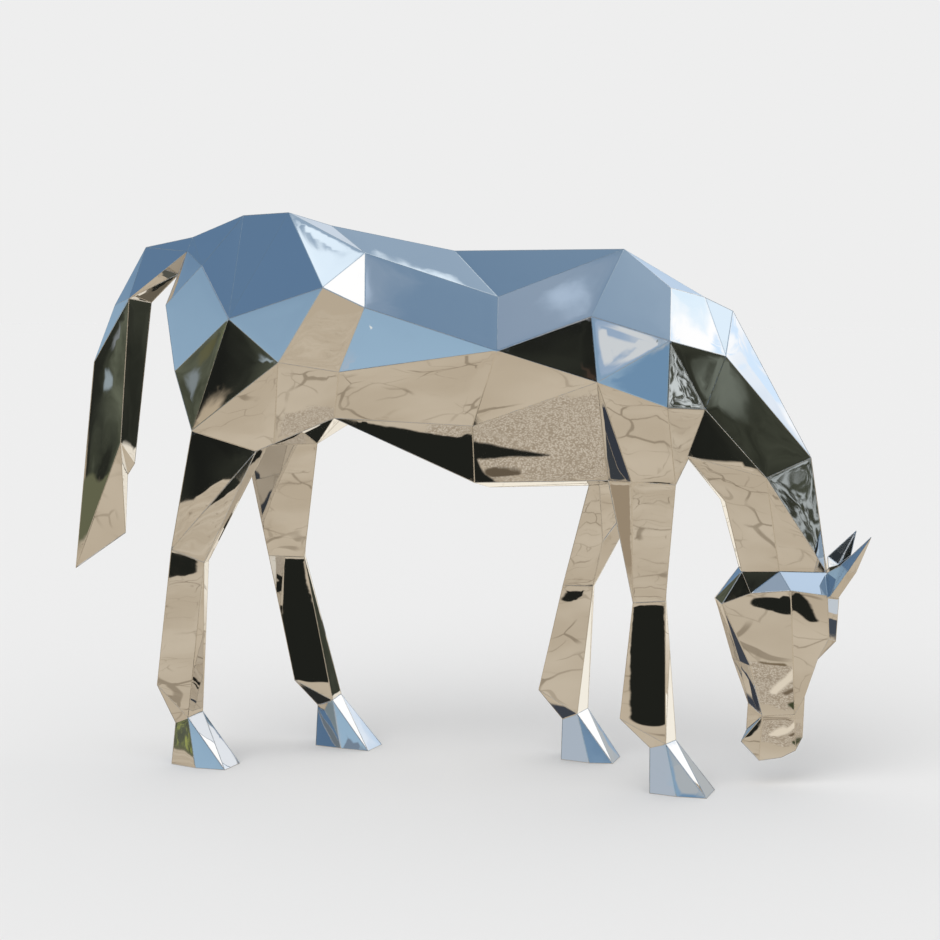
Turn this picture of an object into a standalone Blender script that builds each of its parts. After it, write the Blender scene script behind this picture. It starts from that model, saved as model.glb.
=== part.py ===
"""Grazing horse folded from mirror-polished stainless-steel sheet, one welded work of flat facets.

+X points to the muzzle, +Y to the horse's left and +Z up. Units are metres. The hooves stand on z = 0.
The form is given as shares of the height at the withers, in hundredths of it.
"""

import math

import bmesh
import bpy
from mathutils import Matrix, Vector

# Driving dimensions, in metres and degrees
WITHERS_HEIGHT = 1.60
HEAD_YAW = 20.0
EAR_ROOT_DEPTH = 0.03

# How the facets are flattened: rounds, and the share of each move that a loose or a firm corner makes
FLATTEN_ROUNDS = 3000
LOOSE_SHARE = 1.0
FIRM_SHARE = 0.1

HUNDREDTH = WITHERS_HEIGHT / 100

# Finish of the polished steel
STEEL_COLOUR = (0.74, 0.75, 0.77, 1.0)
STEEL_ROUGHNESS = 0.04

# Topline points, on the middle plane: along, up
MIDDLE = {
    "dock": (-56.8, 102.8),
    "croup_rear": (-46.0, 107.0),
    "croup": (-36.6, 107.5),
    "loin": (-27.8, 104.9),
    "back": (-3.0, 99.9),
    "withers": (29.7, 100.0),
    "crest_base": (44.9, 91.2),
    "tail_under": (-60.0, 95.5),
    "crotch_rear": (-52.5, 69.0),
    "crotch": (-44.0, 67.0),
    "keel_rear": (-26.6, 66.3),
    "keel_front": (4.1, 55.5),
}

# Trunk points that come in pairs: along, half width, up
PAIRS = {
    "tail_side": (-56.5, 3.4, 100.0),
    "croup_side": (-51.1, 9.1, 97.1),
    "buttock": (-59.9, 6.5, 89.5),
    "thigh_rear": (-56.0, 11.5, 76.8),
    "gaskin_rear": (-52.2, 12.9, 65.5),
    "hip": (-43.1, 15.6, 87.1),
    "haunch": (-23.7, 17.1, 93.0),
    "thigh": (-32.2, 18.4, 79.0),
    "stifle": (-34.3, 15.1, 63.5),
    "gaskin_front": (-38.2, 14.3, 61.9),
    "loin_side": (-19.1, 5.8, 99.6),
    "flank_top": (-15.9, 15.8, 89.1),
    "rib_top": (8.0, 10.0, 91.3),
    "rib": (10.3, 19.9, 81.6),
    "flank": (-20.8, 16.5, 77.3),
    "groin": (-22.1, 14.9, 69.3),
    "belly_side": (5.0, 16.8, 67.7),
    "girth": (4.1, 13.5, 56.3),
    "shoulder_top": (26.2, 13.1, 88.0),
    "shoulder": (27.7, 14.8, 76.0),
    "neck_top": (39.3, 4.5, 92.9),
    "shoulder_front": (40.6, 13.3, 83.5),
    "shoulder_point": (40.5, 14.9, 71.6),
    "neck_side": (46.7, 10.7, 71.1),
    "elbow": (28.6, 9.1, 57.4),
    "forearm_mid": (33.7, 12.6, 57.8),
}

# Points that differ from side to side, because the left foreleg stands back and the neck swings to the left
SINGLE = {
    "breast.R": (43.4, -12.2, 61.7),
    "breast.L": (41.5, 12.2, 62.5),
    "windpipe_low.R": (44.2, -12.0, 63.0),
    "forearm_front.R": (41.9, -13.0, 57.5),
    "forearm_front.L": (35.0, 13.0, 57.5),
    "crest_low": (50.1, 0.3, 88.7),
    "crest_high": (64.5, 2.8, 61.6),
    "poll": (67.6, 5.0, 39.8),
    "neck_mid.R": (49.8, -6.2, 80.6),
    "neck_mid.L": (49.0, 7.6, 80.6),
    "gullet.R": (57.2, -4.4, 58.4),
    "gullet.L": (53.6, 8.6, 58.4),
    "windpipe.R": (50.1, -7.5, 54.2),
    "windpipe.L": (48.1, 3.4, 53.6),
}

# Facets of the right side of trunk and neck. Each has its mirror twin on the left.
TRUNK_FACETS = [
    "dock croup_rear croup_side",
    "croup_rear hip croup_side",
    "croup_rear croup hip",
    "croup haunch hip",
    "dock croup_side tail_side",
    "tail_side croup_side buttock",
    "tail_side buttock tail_under",
    "buttock croup_side hip thigh_rear",
    "thigh_rear hip gaskin_rear",
    "hip thigh gaskin_rear",
    "hip haunch thigh",
    "haunch flank_top flank thigh",
    "thigh flank groin stifle",
    "thigh stifle gaskin_front gaskin_rear",
    "croup loin_side haunch",
    "haunch loin_side flank_top",
    "croup loin loin_side",
    "loin back rib_top loin_side",
    "back withers rib_top",
    "rib_top withers shoulder_top rib",
    "loin_side rib_top rib flank_top",
    "flank_top rib flank",
    "rib shoulder_top shoulder",
    "withers neck_top shoulder_front shoulder_top",
    "shoulder_top shoulder_front shoulder",
    "shoulder shoulder_front shoulder_point",
    "shoulder_front shoulder_point neck_side",
    "shoulder_front neck_side neck_mid",
    "neck_top crest_base neck_mid shoulder_front",
    "withers neck_top crest_base",
    "crest_base crest_low neck_mid",
    "crest_low crest_high neck_mid",
    "neck_mid neck_side gullet crest_high",
    "crest_high gullet poll",
    "flank rib belly_side groin",
    "rib shoulder belly_side",
    "belly_side shoulder elbow girth",
    "groin belly_side girth",
    "groin girth keel_front keel_rear",
    "shoulder elbow forearm_mid",
    "shoulder forearm_mid forearm_front shoulder_point",
    "gullet poll cheek_top",
    "thigh_rear crotch_rear gaskin_inner_rear",
    "thigh_rear gaskin_inner_rear gaskin_rear",
    "crotch_rear crotch gaskin_inner_rear",
    "crotch gaskin_inner_front gaskin_inner_rear",
    "stifle gaskin_front gaskin_inner_front",
    "girth elbow forearm_inner_rear keel_front",
]

# Facets that cross the middle, or that the two sides don't share
SINGLE_FACETS = [
    "tail_under buttock.R buttock.L",
    "buttock.R buttock.L thigh_rear.L thigh_rear.R",
    "thigh_rear.R thigh_rear.L crotch_rear",
    "stifle.R gaskin_inner_front.R gaskin_inner_front.L",
    "stifle.R gaskin_inner_front.L groin.R",
    "gaskin_inner_front.R crotch gaskin_inner_front.L",
    "groin.R gaskin_inner_front.L keel_rear",
    "keel_rear gaskin_inner_front.L groin.L",
    "groin.L gaskin_inner_front.L stifle.L",
    "forearm_inner_rear.R forearm_inner_rear.L keel_front",
    "forearm_inner_rear.R forearm_inner_front.R forearm_inner_front.L",
    "forearm_inner_rear.R forearm_inner_front.L forearm_inner_rear.L",
    "forearm_inner_front.R forearm_front.R breast.R",
    "forearm_inner_front.R breast.R breast.L",
    "forearm_inner_front.R breast.L forearm_inner_front.L",
    "forearm_inner_front.L breast.L forearm_front.L",
    "shoulder_point.R neck_side.R windpipe_low.R breast.R forearm_front.R",
    "shoulder_point.L neck_side.L breast.L forearm_front.L",
    "neck_side.R gullet.R windpipe_low.R",
    "neck_side.L gullet.L breast.L",
    "windpipe_low.R gullet.R cheek_top.R throat.R windpipe.R",
    "breast.L gullet.L cheek_top.L throat.L windpipe.L",
    "windpipe_low.R windpipe.R windpipe.L",
    "windpipe_low.R windpipe.L breast.L breast.R",
    "windpipe.R throat.R throat.L windpipe.L",
]

# Head points from the poll, along the face's own forward axis: forward, half width, up
HEAD_PAIRS = {
    "throat": (-17.1, 3.8, 1.1),
    "cheek_top": (-9.6, 2.9, 1.0),
    "cheek_rear": (-15.4, 4.1, -2.8),
    "brow": (-8.0, 4.6, -2.5),
    "temple": (-0.6, 3.4, -3.6),
    "jaw": (-20.7, 3.9, -4.8),
    "jaw_low": (-14.9, 2.8, -16.7),
    "jaw_seam": (-16.7, 1.2, -16.1),
    "chin": (-12.3, 1.9, -26.4),
    "lip_corner": (-12.8, 2.1, -34.9),
    "forehead_top": (1.9, 1.5, -4.5),
    "forehead_low": (1.7, 1.5, -12.6),
    "eye_low": (0.0, 2.7, -12.0),
    "nose_top": (-2.0, 2.5, -15.8),
    "nose_low": (-4.4, 1.8, -22.8),
    "nostril_top": (-6.2, 2.2, -26.2),
    "nose_end": (-4.6, 2.0, -30.6),
    "nose_tip": (-5.9, 2.0, -33.1),
    "lip_front": (-8.6, 2.1, -34.4),
}
# The throat and jaw are pinched on the side that the neck bends to
HEAD_LEFT = {"throat": (-17.2, 2.4, 0.6), "jaw": (-20.5, 3.2, -4.8)}
HEAD_MIDDLE = {
    "jaw_ridge": (-21.1, -4.3),
    "jaw_ridge_mid": (-17.7, -15.8),
    "jaw_ridge_low": (-14.6, -24.2),
    "lip_back": (-14.9, -29.4),
    "lip_point": (-15.9, -31.6),
}
HEAD_FACETS = [
    "throat cheek_top cheek_rear",
    "throat cheek_rear jaw",
    "throat jaw jaw_ridge",
    "cheek_top brow cheek_rear",
    "cheek_top poll temple brow",
    "cheek_rear brow nostril_top chin jaw_low jaw",
    "brow temple eye_low nose_top nose_low nostril_top",
    "temple forehead_top forehead_low eye_low",
    "poll forehead_top temple",
    "eye_low forehead_low nose_top",
    "nose_low nose_end nose_tip nostril_top",
    "nostril_top nose_tip lip_front lip_corner chin",
    "jaw jaw_seam jaw_ridge",
    "jaw_seam jaw_ridge_mid jaw_ridge",
    "jaw jaw_low jaw_seam",
    "jaw_seam jaw_low chin jaw_ridge_low",
    "jaw_ridge_mid jaw_seam jaw_ridge_low",
    "jaw_ridge_low chin lip_back",
    "lip_back chin lip_point",
    "lip_point chin lip_corner",
]
HEAD_SINGLE_FACETS = [
    "throat.R throat.L jaw_ridge",
    "poll forehead_top.R forehead_top.L",
    "forehead_top.R forehead_top.L forehead_low.L forehead_low.R",
    "forehead_low.R forehead_low.L nose_top.L nose_top.R",
    "nose_top.R nose_top.L nose_low.L nose_low.R",
    "nose_low.R nose_low.L nose_end.L nose_end.R",
    "nose_end.R nose_end.L nose_tip.L nose_tip.R",
    "nose_tip.R nose_tip.L lip_front.L lip_front.R",
    "lip_front.R lip_front.L lip_corner.L lip_corner.R",
    "lip_corner.R lip_corner.L lip_point",
]

# Ears: each blade by its roots, shoulders, the fold between them and its tip, in the head's own axes.
# The roots are sunk towards a point inside the head.
EAR_ANCHOR = (-4.0, 0.0, -6.0)
EAR_BLADES = {
    "R": {
        "roots": [(0.0, -0.6, 0.3), (-0.3, -3.8, -3.7), (1.7, -1.9, -4.5)],
        "shoulders": [(1.7, -3.6, 2.2), (4.5, -3.9, 0.7)],
        "fold": (2.5, -5.3, 1.1),
        "tip": (7.0, -4.7, 7.4),
        "back": (3.4, -2.4, 2.6),
    },
    "L": {
        "roots": [(0.7, 1.2, 1.0), (0.4, 3.6, -2.6), (1.9, 1.8, -4.2)],
        "shoulders": [(1.1, 3.6, 2.7), (5.6, 3.4, 2.9)],
        "fold": (3.4, 5.4, 1.6),
        "tip": (6.9, 4.7, 7.4),
        "back": (3.0, 2.9, 1.2),
    },
}

# Tail: its bend, then the rear edge and the two front edges of a three-sided blade that runs out to one tip
TAIL_BEND = (-66.8, 0.0, 100.9)
TAIL_REAR = [(-72.6, -2.5, 89.4), (-76.8, -3.7, 78.1), (-77.8, -3.7, 71.0)]
TAIL_FRONT_RIGHT = [(-68.1, -5.6, 90.8), (-70.6, -5.0, 62.1)]
TAIL_FRONT_LEFT = [(-67.8, 5.0, 89.8), (-71.4, 2.5, 57.3), (-72.5, 2.0, 55.0), (-72.8, 1.2, 43.2)]
TAIL_TIP = (-82.4, -1.9, 36.1)

# Legs: corners of the right-hand face, rear then front, at hock or knee and at the hoof's top, and the
# widths across from there to the left-hand face. heel, yaw, length and width place the hoof on the ground.
LEGS = {
    "right_hind": {
        "top": "gaskin_rear.R gaskin_front.R gaskin_inner_front.R gaskin_inner_rear.R",
        "wedge": (-51.9, -14.1, 47.3),
        "joint": [(-56.5, -13.1, 42.3), (-49.3, -13.7, 40.1), (-50.0, -9.6, 39.8), (-56.9, -9.2, 41.8)],
        "fetlock": [(-60.1, -12.8, 15.3), (-59.6, -8.6, 15.3)],
        "coronet": [(-56.4, -13.1, 8.1), (-53.2, -13.4, 9.3), (-52.2, -8.4, 9.7), (-55.6, -8.4, 8.3)],
        "heel": (-56.8, -14.0),
        "yaw": -8.5,
        "length": 12.1,
        "width": 5.8,
        "quarter": 6.0,
        "bulges": (0.9, 0.3),
    },
    "left_hind": {
        "top": "gaskin_inner_rear.L gaskin_inner_front.L gaskin_front.L gaskin_rear.L",
        "joint": [(-44.6, 8.1, 38.6), (-36.8, 8.1, 38.7), (-38.1, 12.2, 38.4), (-45.4, 12.2, 38.4)],
        "fetlock": [(-39.5, 8.7, 13.1), (-40.0, 12.8, 13.1)],
        "coronet": [(-34.6, 9.4, 8.0), (-31.3, 8.4, 9.4), (-30.7, 12.5, 9.9), (-34.2, 13.4, 8.2)],
        "heel": (-34.7, 7.8),
        "yaw": -9.0,
        "length": 12.1,
        "width": 6.1,
        "quarter": 6.0,
        "bulges": (0.3, 1.2),
    },
    "right_fore": {
        "top": "elbow.R forearm_front.R forearm_inner_front.R forearm_inner_rear.R",
        "split": "forearm_mid.R",
        "joint": [(33.9, -11.2, 35.4), (40.0, -11.2, 36.0), (39.5, -7.6, 36.0), (33.8, -7.4, 35.4)],
        "shin": (40.2, -6.9, 26.1),
        "fetlock": [(31.4, -9.7, 13.3), (31.7, -5.4, 13.3)],
        "coronet": [(36.9, -9.7, 8.2), (40.1, -10.3, 9.1), (41.3, -5.9, 9.0), (37.8, -5.2, 8.3)],
        "heel": (37.3, -11.4),
        "yaw": -5.3,
        "length": 10.8,
        "width": 6.7,
        "quarter": 5.3,
        "bulges": (0.7, 0.5),
    },
    "left_fore": {
        "top": "forearm_inner_rear.L forearm_inner_front.L forearm_front.L elbow.L",
        "left_split": "forearm_mid.L",
        "shin_wedge": (24.6, 7.5, 44.0),
        "joint": [(16.7, 8.1, 35.0), (22.6, 8.1, 35.0), (22.2, 11.6, 34.8), (15.7, 10.6, 34.7)],
        "fetlock": [(11.5, 9.7, 13.6), (11.2, 13.8, 13.4)],
        "coronet": [(16.0, 10.6, 7.9), (19.2, 10.0, 9.2), (20.5, 14.1, 9.5), (16.6, 14.8, 8.1)],
        "heel": (16.1, 9.2),
        "yaw": -3.0,
        "length": 10.6,
        "width": 6.0,
        "quarter": 6.1,
        "bulges": (1.1, 0.4),
    },
}

# Inner corners where the four legs leave the trunk
LEG_ROOTS = {
    "gaskin_inner_front.R": (-38.5, -9.4, 62.7),
    "gaskin_inner_front.L": (-33.3, 6.2, 61.8),
    "gaskin_inner_rear.R": (-50.5, -4.5, 63.0),
    "gaskin_inner_rear.L": (-49.3, 6.6, 64.5),
    "forearm_inner_front.R": (40.0, -6.0, 57.6),
    "forearm_inner_front.L": (24.1, 6.2, 55.2),
    "forearm_inner_rear.R": (29.6, -4.6, 57.0),
    "forearm_inner_rear.L": (21.7, 6.2, 54.8),
}

# Left-hand corners that hold their place when the facets are flattened
FIRM_LEFT = {"windpipe.L", "throat.L", "jaw.L", *LEG_ROOTS}


def clear_scene():
    for obj in list(bpy.data.objects):
        bpy.data.objects.remove(obj, do_unlink=True)


def polished_steel():
    """The mirror finish that every facet has."""
    material = bpy.data.materials.new("polished_steel")
    material.use_nodes = True
    shader = material.node_tree.nodes["Principled BSDF"]
    shader.inputs["Base Color"].default_value = STEEL_COLOUR
    shader.inputs["Metallic"].default_value = 1.0
    shader.inputs["Roughness"].default_value = STEEL_ROUGHNESS
    return material


def opposite(point):
    """The mirror image of a point across the horse's middle plane."""
    return Vector((point[0], -point[1], point[2]))


class Sheetwork:
    """A closed body of flat facets between named corners, kept in hundredths of the withers height."""

    def __init__(self):
        self.mesh = bmesh.new()
        self.corners = {}

    def corner(self, name, point):
        self.corners[name] = self.mesh.verts.new(Vector(point))

    def pair(self, name, right, left):
        self.corner(name + ".R", right)
        self.corner(name + ".L", left)

    def facet(self, names):
        self.mesh.faces.new([self.corners[name] for name in names])

    def facet_pair(self, names):
        """One facet on the right side and its twin on the left."""
        for side in (".R", ".L"):
            self.facet([name if name in self.corners else name + side for name in names])


def head_place(point):
    """A point given from the poll in the head's own axes, moved to where the head hangs."""
    turn = Matrix.Rotation(math.radians(HEAD_YAW), 3, "Z")
    return turn @ Vector(point) + Vector(SINGLE["poll"])


def add_trunk(horse):
    for name, (along, up) in MIDDLE.items():
        horse.corner(name, (along, 0.0, up))
    for name, (along, half_width, up) in PAIRS.items():
        right = Vector((along, -half_width, up))
        horse.pair(name, right, opposite(right))
    for name, point in {**SINGLE, **LEG_ROOTS}.items():
        horse.corner(name, point)


def add_head(horse):
    for name, (forward, half_width, up) in HEAD_PAIRS.items():
        right = head_place((forward, -half_width, up))
        left = head_place((forward, half_width, up))
        horse.pair(name, right, left)
    for name, point in HEAD_LEFT.items():
        horse.corners[name + ".L"].co = head_place(point)
    for name, (forward, up) in HEAD_MIDDLE.items():
        horse.corner(name, head_place((forward, 0.0, up)))
    for names in HEAD_FACETS:
        horse.facet_pair(names.split())
    for names in HEAD_SINGLE_FACETS:
        horse.facet(names.split())


def add_tail(horse):
    """A root of three faces out to the bend, then a three-sided blade that hangs to its tip."""
    horse.corner("tail_bend", TAIL_BEND)
    horse.corner("tail_tip", TAIL_TIP)
    edges = {"tail_rear": TAIL_REAR, "tail_right": TAIL_FRONT_RIGHT, "tail_left": TAIL_FRONT_LEFT}
    for name, points in edges.items():
        for i, point in enumerate(points):
            horse.corner(f"{name}{i}", point)
    for names in [
        "dock tail_side.R tail_bend",
        "dock tail_bend tail_side.L",
        "tail_side.R tail_right0 tail_bend",
        "tail_side.L tail_bend tail_left0",
        "tail_side.R tail_under tail_right0",
        "tail_under tail_left0 tail_right0",
        "tail_under tail_side.L tail_left0",
        "tail_bend tail_right0 tail_rear0",
        "tail_bend tail_rear0 tail_left0",
        "tail_rear0 tail_right0 tail_rear1",
        "tail_rear0 tail_rear1 tail_left0",
        "tail_right0 tail_right1 tail_tip tail_rear2 tail_rear1",
        "tail_left0 tail_rear1 tail_left1",
        "tail_rear1 tail_rear2 tail_left1",
        "tail_rear2 tail_left2 tail_left1",
        "tail_rear2 tail_left3 tail_left2",
        "tail_rear2 tail_tip tail_left3",
        "tail_right0 tail_left0 tail_left1 tail_right1",
        "tail_right1 tail_left1 tail_left2",
        "tail_right1 tail_left2 tail_left3",
        "tail_right1 tail_left3 tail_tip",
    ]:
        horse.facet(names.split())


def sole_outline(leg):
    """Corners of a hoof's sole on the ground: right heel, quarter, toe, then left toe, quarter and heel."""
    angle = math.radians(leg["yaw"])
    forward = Vector((math.cos(angle), math.sin(angle), 0.0))
    across = Vector((-math.sin(angle), math.cos(angle), 0.0))
    heel = Vector((*leg["heel"], 0.0))
    right_bulge, left_bulge = leg["bulges"]
    spots = [
        (0.0, 0.0),
        (leg["quarter"], -right_bulge),
        (leg["length"], 0.0),
        (leg["length"], leg["width"]),
        (leg["quarter"], leg["width"] + left_bulge),
        (0.0, leg["width"]),
    ]
    return [heel + forward * along + across * side for along, side in spots]


def add_leg(horse, name, leg):
    """Upper leg, cannon, pastern and hoof, from the trunk's own corners down to the ground."""
    corners = ["right_rear", "right_front", "left_front", "left_rear"]
    for level in ("joint", "coronet"):
        for spot, point in zip(corners, leg[level]):
            horse.corner(f"{name}.{level}.{spot}", point)
    for spot, point in zip(("right_rear", "left_rear"), leg["fetlock"]):
        horse.corner(f"{name}.fetlock.{spot}", point)
    sole = ["heel_right", "quarter_right", "toe_right", "toe_left", "quarter_left", "heel_left"]
    for spot, point in zip(sole, sole_outline(leg)):
        horse.corner(f"{name}.{spot}", point)

    def facet(*names):
        horse.facet([n if n in horse.corners else f"{name}.{n}" for n in names])

    top_rear, top_front, inner_front, inner_rear = leg["top"].split()
    joint_rear, joint_front = "joint.right_rear", "joint.right_front"
    if "split" in leg:
        facet(top_rear, leg["split"], joint_rear)
        facet(leg["split"], top_front, joint_front, joint_rear)
        facet(top_front, inner_front, joint_front)
        facet(inner_front, "joint.left_front", joint_front)
    elif "wedge" in leg:
        horse.corner(f"{name}.wedge", leg["wedge"])
        facet(top_rear, top_front, "wedge", joint_rear)
        facet(joint_rear, "wedge", joint_front)
        facet(top_front, joint_front, "wedge")
        facet(top_front, inner_front, joint_front)
        facet(inner_front, "joint.left_front", joint_front)
    elif "shin_wedge" in leg:
        horse.corner(f"{name}.shin_wedge", leg["shin_wedge"])
        facet(top_rear, top_front, "shin_wedge", joint_front, joint_rear)
        facet(top_front, inner_front, "shin_wedge")
        facet("shin_wedge", inner_front, joint_front)
        facet(inner_front, "joint.left_front", joint_front)
    else:
        facet(top_rear, top_front, joint_front, joint_rear)
        facet(top_front, inner_front, joint_front)
        facet(inner_front, "joint.left_front", joint_front)
    left_split = [leg["left_split"]] if "left_split" in leg else []
    facet(inner_front, *left_split, inner_rear, "joint.left_rear", "joint.left_front")
    facet(inner_rear, top_rear, joint_rear, "joint.left_rear")

    facet(joint_rear, joint_front, "coronet.right_front", "fetlock.right_rear")
    facet("fetlock.right_rear", "coronet.right_front", "coronet.right_rear")
    if "shin" in leg:
        horse.corner(f"{name}.shin", leg["shin"])
        facet(joint_front, "joint.left_front", "shin")
        facet(joint_front, "shin", "coronet.right_front")
        facet("shin", "coronet.left_front", "coronet.right_front")
        facet("joint.left_front", "joint.left_rear", "fetlock.left_rear", "shin")
        facet("shin", "fetlock.left_rear", "coronet.left_front")
    else:
        facet(joint_front, "joint.left_front", "coronet.left_front")
        facet(joint_front, "coronet.left_front", "coronet.right_front")
        facet("joint.left_front", "joint.left_rear", "fetlock.left_rear", "coronet.left_front")
    facet("coronet.left_front", "fetlock.left_rear", "coronet.left_rear")
    facet("joint.left_rear", joint_rear, "fetlock.right_rear", "fetlock.left_rear")
    facet("fetlock.left_rear", "fetlock.right_rear", "coronet.right_rear", "coronet.left_rear")

    facet("coronet.right_rear", "coronet.right_front", "quarter_right", "heel_right")
    facet("coronet.right_front", "toe_right", "quarter_right")
    facet("coronet.right_front", "coronet.left_front", "toe_right")
    facet("coronet.left_front", "toe_left", "toe_right")
    facet("coronet.left_front", "quarter_left", "toe_left")
    facet("coronet.left_front", "coronet.left_rear", "heel_left", "quarter_left")
    facet("coronet.left_rear", "coronet.right_rear", "heel_right", "heel_left")
    facet(*sole)


def is_loose(name):
    """Corners of the left side and the legs' inner rear edges give way first when facets are flattened."""
    return name not in FIRM_LEFT and name.endswith((".L", "left_rear"))


def flatten_facets(horse):
    """Each facet is cut from flat plate, so the corners of the larger ones are eased onto common planes."""
    mesh = horse.mesh
    share = {vert: LOOSE_SHARE if is_loose(name) else FIRM_SHARE for name, vert in horse.corners.items()}
    on_ground = {vert for vert in mesh.verts if vert.co.z == 0.0}
    facets = [face for face in mesh.faces if len(face.verts) > 3]
    for _ in range(FLATTEN_ROUNDS):
        moves = {vert: [] for vert in mesh.verts}
        for face in facets:
            middle = face.calc_center_median()
            for vert in face.verts:
                moves[vert].append(face.normal * (middle - vert.co).dot(face.normal))
        for vert, steps in moves.items():
            if steps and vert not in on_ground:
                vert.co += sum(steps, Vector()) / len(steps) * share[vert]
        mesh.normal_update()


def sunk(point):
    """A root corner of an ear, moved into the head."""
    inward = Vector(EAR_ANCHOR) - Vector(point)
    return Vector(point) + inward.normalized() * EAR_ROOT_DEPTH / HUNDREDTH


def ear_mesh(blade):
    """A folded leaf with its root buried in the head: a hollow front of two faces, and a ridge behind."""
    mesh = bmesh.new()

    def place(point):
        return mesh.verts.new(head_place(point))

    top, side, front = [place(p) for p in blade["roots"]]
    top_in, side_in, front_in = [place(sunk(p)) for p in blade["roots"]]
    left, right = [place(p) for p in blade["shoulders"]]
    fold, tip, back = place(blade["fold"]), place(blade["tip"]), place(blade["back"])
    for corners in [
        (top, left, side),
        (left, fold, side),
        (fold, right, front, side),
        (left, tip, fold),
        (fold, tip, right),
        (left, back, tip),
        (right, tip, back),
        (top, back, left),
        (front, right, back),
        (top, front, back),
        (top, side, side_in, top_in),
        (side, front, front_in, side_in),
        (front, top, top_in, front_in),
        (top_in, side_in, front_in),
    ]:
        mesh.faces.new(corners)
    return mesh


def to_object(mesh, name, material):
    """Scales the corners from hundredths to metres, points the facets outwards and links the object."""
    bmesh.ops.scale(mesh, vec=(HUNDREDTH, HUNDREDTH, HUNDREDTH), verts=mesh.verts)
    bmesh.ops.recalc_face_normals(mesh, faces=mesh.faces)
    data = bpy.data.meshes.new(name)
    mesh.to_mesh(data)
    mesh.free()
    data.materials.append(material)
    obj = bpy.data.objects.new(name, data)
    bpy.context.scene.collection.objects.link(obj)
    return obj


def weld_on(body, piece):
    """Joins a piece to the body by a Boolean union, and keeps the piece as a hidden guide."""
    joint = body.modifiers.new("weld_" + piece.name, "BOOLEAN")
    joint.operation = "UNION"
    joint.solver = "EXACT"
    joint.object = piece
    piece.hide_render = True
    piece.display_type = "WIRE"


def stand_on_origin(objects):
    """Moves the work so that the origin is under the middle of its box."""
    points = [vert.co for obj in objects for vert in obj.data.vertices]
    middle = [(min(p[axis] for p in points) + max(p[axis] for p in points)) / 2 for axis in (0, 1)]
    for obj in objects:
        obj.data.transform(Matrix.Translation((-middle[0], -middle[1], 0.0)))


def build_horse():
    steel = polished_steel()
    horse = Sheetwork()
    add_trunk(horse)
    add_head(horse)
    for names in TRUNK_FACETS:
        horse.facet_pair(names.split())
    for names in SINGLE_FACETS:
        horse.facet(names.split())
    add_tail(horse)
    for name, leg in LEGS.items():
        add_leg(horse, name, leg)
    horse.mesh.normal_update()
    flatten_facets(horse)
    body = to_object(horse.mesh, "horse", steel)
    ears = [to_object(ear_mesh(blade), "ear_guide_" + side, steel) for side, blade in EAR_BLADES.items()]
    stand_on_origin([body, *ears])
    for ear in ears:
        weld_on(body, ear)
    return body


clear_scene()
build_horse()
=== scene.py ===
"""Looks of the faceted grazing horse: flat plates of mirror-polished stainless steel, welded and ground.

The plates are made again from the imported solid, finely enough to carry the slight waves that welding and
polishing leave in thin sheet. The floor and backdrop are plain and pale. Mirror rays alone see the open air
that the facets show: sky, cloud, trees and sandy paving.
"""

import math

import bmesh
import bpy
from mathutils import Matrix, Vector, geometry, noise


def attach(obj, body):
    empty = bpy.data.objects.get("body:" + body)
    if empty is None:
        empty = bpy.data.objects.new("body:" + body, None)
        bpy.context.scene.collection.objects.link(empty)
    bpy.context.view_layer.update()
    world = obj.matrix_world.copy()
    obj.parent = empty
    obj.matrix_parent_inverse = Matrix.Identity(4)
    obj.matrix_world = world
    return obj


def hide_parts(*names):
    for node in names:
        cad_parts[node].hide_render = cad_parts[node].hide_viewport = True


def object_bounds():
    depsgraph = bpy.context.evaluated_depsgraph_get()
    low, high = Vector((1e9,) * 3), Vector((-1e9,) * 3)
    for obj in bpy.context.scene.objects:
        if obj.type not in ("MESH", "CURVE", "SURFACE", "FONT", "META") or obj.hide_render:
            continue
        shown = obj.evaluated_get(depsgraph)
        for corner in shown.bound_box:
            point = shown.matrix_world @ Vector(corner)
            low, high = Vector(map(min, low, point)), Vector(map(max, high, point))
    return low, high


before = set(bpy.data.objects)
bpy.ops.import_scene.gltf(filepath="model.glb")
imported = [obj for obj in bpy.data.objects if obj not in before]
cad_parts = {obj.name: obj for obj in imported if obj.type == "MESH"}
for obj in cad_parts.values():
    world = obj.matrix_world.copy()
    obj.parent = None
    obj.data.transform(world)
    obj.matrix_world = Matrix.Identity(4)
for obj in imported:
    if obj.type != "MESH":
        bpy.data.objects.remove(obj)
cad_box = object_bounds()

# Camera, from the photograph's perspective, in metres and degrees
CAMERA_PLACE = (1.583, -5.709, 1.5)
CAMERA_TURN = 15.0
CAMERA_DIP = 5.53
LENS_MM = 73.9
SENSOR_MM = 36.0

# Plates, in metres, and what sets their waves apart
PLATE_GRID = 0.016
FOLD_WIDTH = 0.0022
WAVE_HEIGHT = 0.0005
WAVE_LENGTH = 0.30
RIPPLE_HEIGHT = 0.00006
RIPPLE_LENGTH = 0.07
PULL_HEIGHT = 0.00022
PULL_REACH = 0.022
CALM_REACH = 0.05
WAVE_SEED = 7
SEED_STEPS = (3.7, 1.3)
ON_GROUND = 0.001
RIM_CLEAR = FOLD_WIDTH + PLATE_GRID * 0.45
SLOPE_STEP = PLATE_GRID / 8
KEYS_PER_METRE = 1e5
# How near to a plate's middle and to its plane a point has to be to name it
LEAN_REACH = 0.16
LEAN_OFF_PLANE = 0.004
# A point on each plate that bows more than the others, and how much its normal leans
PLATE_LEANS = [
    ((-0.594, 0.116, 0.814), (0.12, 0.0, 0.0)),
    ((0.651, -0.193, 0.757), (0.0, 0.0, 0.045)),
    ((0.396, 0.117, 0.698), (-0.02, 0.0, 0.05)),
    ((0.334, -0.214, 1.036), (0.045, 0.0, 0.0)),
    ((-0.037, -0.275, 1.184), (0.04, 0.0, 0.0)),
]

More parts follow.
